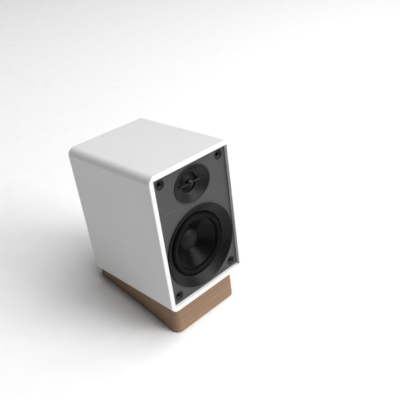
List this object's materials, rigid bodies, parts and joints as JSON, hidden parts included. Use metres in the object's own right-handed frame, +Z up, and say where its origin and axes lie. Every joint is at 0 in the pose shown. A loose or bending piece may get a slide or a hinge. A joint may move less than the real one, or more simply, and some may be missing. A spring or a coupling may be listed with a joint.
{
  "type": "bookshelf speaker",
  "caption": "Powered two-way bookshelf speaker with rounded white cabinet, recessed charcoal baffle, elliptical tweeter waveguide, woofer and a tilted wooden wedge stand.",
  "frame": {"origin": "centre of the bounding box, on the surface that the feet stand on", "axes": "+Z up, -Y towards the listener, +X to the right seen from the front"},
  "size_m": [0.15, 0.2228, 0.27],
  "materials": {
    "white_lacquer": "satin white lacquer over fibreboard",
    "charcoal_panel": "matt charcoal paint over fibreboard",
    "black_board": "black matt foil over fibreboard",
    "black_steel": "black oxide",
    "wadding": "loose polyester fibre",
    "brass": "satin",
    "black_satin_plastic": "satin moulded",
    "foam": "closed-cell foam",
    "black_rubber": "matt",
    "cone_plastic": "satin moulded cone",
    "cap_plastic": "satin moulded",
    "former": "polyimide film",
    "copper": "lacquered copper wire",
    "spider_cloth": "phenolic cloth",
    "zinc_steel": "zinc plated",
    "ferrite": "matt",
    "tag_board": "phenolic board",
    "black_gloss_plastic": "semi-gloss",
    "dome_silk": "coated silk",
    "black_plastic": "fine texture",
    "wire_red": "PVC insulation",
    "light_pipe": "frosted clear",
    "circuit_board": "solder mask",
    "black_metal": "fine powder coat",
    "aluminium": "extruded",
    "transformer": "varnished core",
    "capacitor": "sleeved can",
    "nickel": "nickel plate",
    "red_plastic": "semi-gloss",
    "oak": "oiled veneer"
  },
  "bodies": {
    "cabinet": {"cabinet_shell": "white_lacquer", "front_baffle": "charcoal_panel", "rear_board": "black_board", "rear_screws": "black_steel", "wadding": "wadding", "base_inserts": "brass", "woofer_trim_ring": "black_satin_plastic", "woofer_gasket": "foam", "woofer_basket": "black_steel", "woofer_surround": "black_rubber", "woofer_spider": "spider_cloth", "woofer_top_plate": "zinc_steel", "woofer_magnet": "ferrite", "woofer_pole_piece": "zinc_steel", "woofer_terminals": "tag_board", "tweeter_waveguide": "black_satin_plastic", "phase_plug": "black_gloss_plastic", "tweeter_suspension": "dome_silk", "tweeter_top_plate": "zinc_steel", "tweeter_magnet": "ferrite", "tweeter_pole_piece": "zinc_steel", "tweeter_rear_cup": "black_plastic", "driver_screws": "black_steel", "driver_leads": "wire_red", "grille_sockets": "black_plastic", "indicator_lights": "light_pipe", "indicator_board": "circuit_board", "port_tube": "black_plastic", "amp_plate": "black_metal", "amp_board": "circuit_board", "power_board": "circuit_board", "board_standoffs": "brass", "heat_sink": "aluminium", "transformer": "transformer", "capacitors": "capacitor", "volume_pot": "zinc_steel", "pot_nut": "zinc_steel", "button_switch": "black_plastic", "rocker_housing": "black_plastic", "mains_inlet": "black_plastic", "rca_jacks": "nickel", "aux_jack": "black_plastic", "post_insulators": "black_plastic", "post_stems": "brass", "stand_wedge": "oak", "stand_pad": "black_rubber", "stand_feet": "black_rubber", "stand_bolts": "black_steel"},
    "woofer_diaphragm": {"woofer_cone": "cone_plastic", "woofer_dust_cap": "cap_plastic", "woofer_former": "former", "woofer_voice_coil": "copper"},
    "tweeter_diaphragm": {"tweeter_dome": "dome_silk", "tweeter_voice_coil": "copper"},
    "volume_control": {"volume_knob": "black_plastic", "volume_shaft": "zinc_steel"},
    "source_button": {"source_button": "black_plastic"},
    "power_rocker": {"power_rocker": "black_gloss_plastic"},
    "post_cap_red": {"post_cap_red": "red_plastic"},
    "post_cap_black": {"post_cap_black": "black_gloss_plastic"}
  },
  "joints": [
    {"name": "woofer_travel", "type": "slide", "parent": "cabinet", "child": "woofer_diaphragm", "axis": [0, -0.9848, 0.1736], "range_m": [-0.003, 0.003], "stiffness_N_per_m": 1200, "deforming": ["woofer_surround", "woofer_spider"]},
    {"name": "tweeter_travel", "type": "slide", "parent": "cabinet", "child": "tweeter_diaphragm", "axis": [0, -0.9848, 0.1736], "range_m": [-0.0004, 0.0004], "stiffness_N_per_m": 800, "deforming": ["tweeter_suspension"]},
    {"name": "volume_turn", "type": "hinge", "parent": "cabinet", "child": "volume_control", "pos_m": [0.036, 0.09524, 0.13405], "axis": [0, 0.9848, -0.1736], "range_deg": [-150, 150]},
    {"name": "source_press", "type": "slide", "parent": "cabinet", "child": "source_button", "axis": [0, -0.9848, 0.1736], "range_m": [0, 0.0007], "stiffness_N_per_m": 900},
    {"name": "power_rock", "type": "hinge", "parent": "cabinet", "child": "power_rocker", "pos_m": [0.027, 0.07845, 0.06187], "axis": [1, 0, 0], "range_deg": [0, 16]},
    {"name": "red_cap_turn", "type": "hinge", "parent": "cabinet", "child": "post_cap_red", "pos_m": [0.036, 0.09455, 0.09559], "axis": [0, 0.9848, -0.1736], "range_deg": [0, 720]},
    {"name": "black_cap_turn", "type": "hinge", "parent": "cabinet", "child": "post_cap_black", "pos_m": [0.017, 0.09455, 0.09559], "axis": [0, 0.9848, -0.1736], "range_deg": [0, 720]}
  ]
}
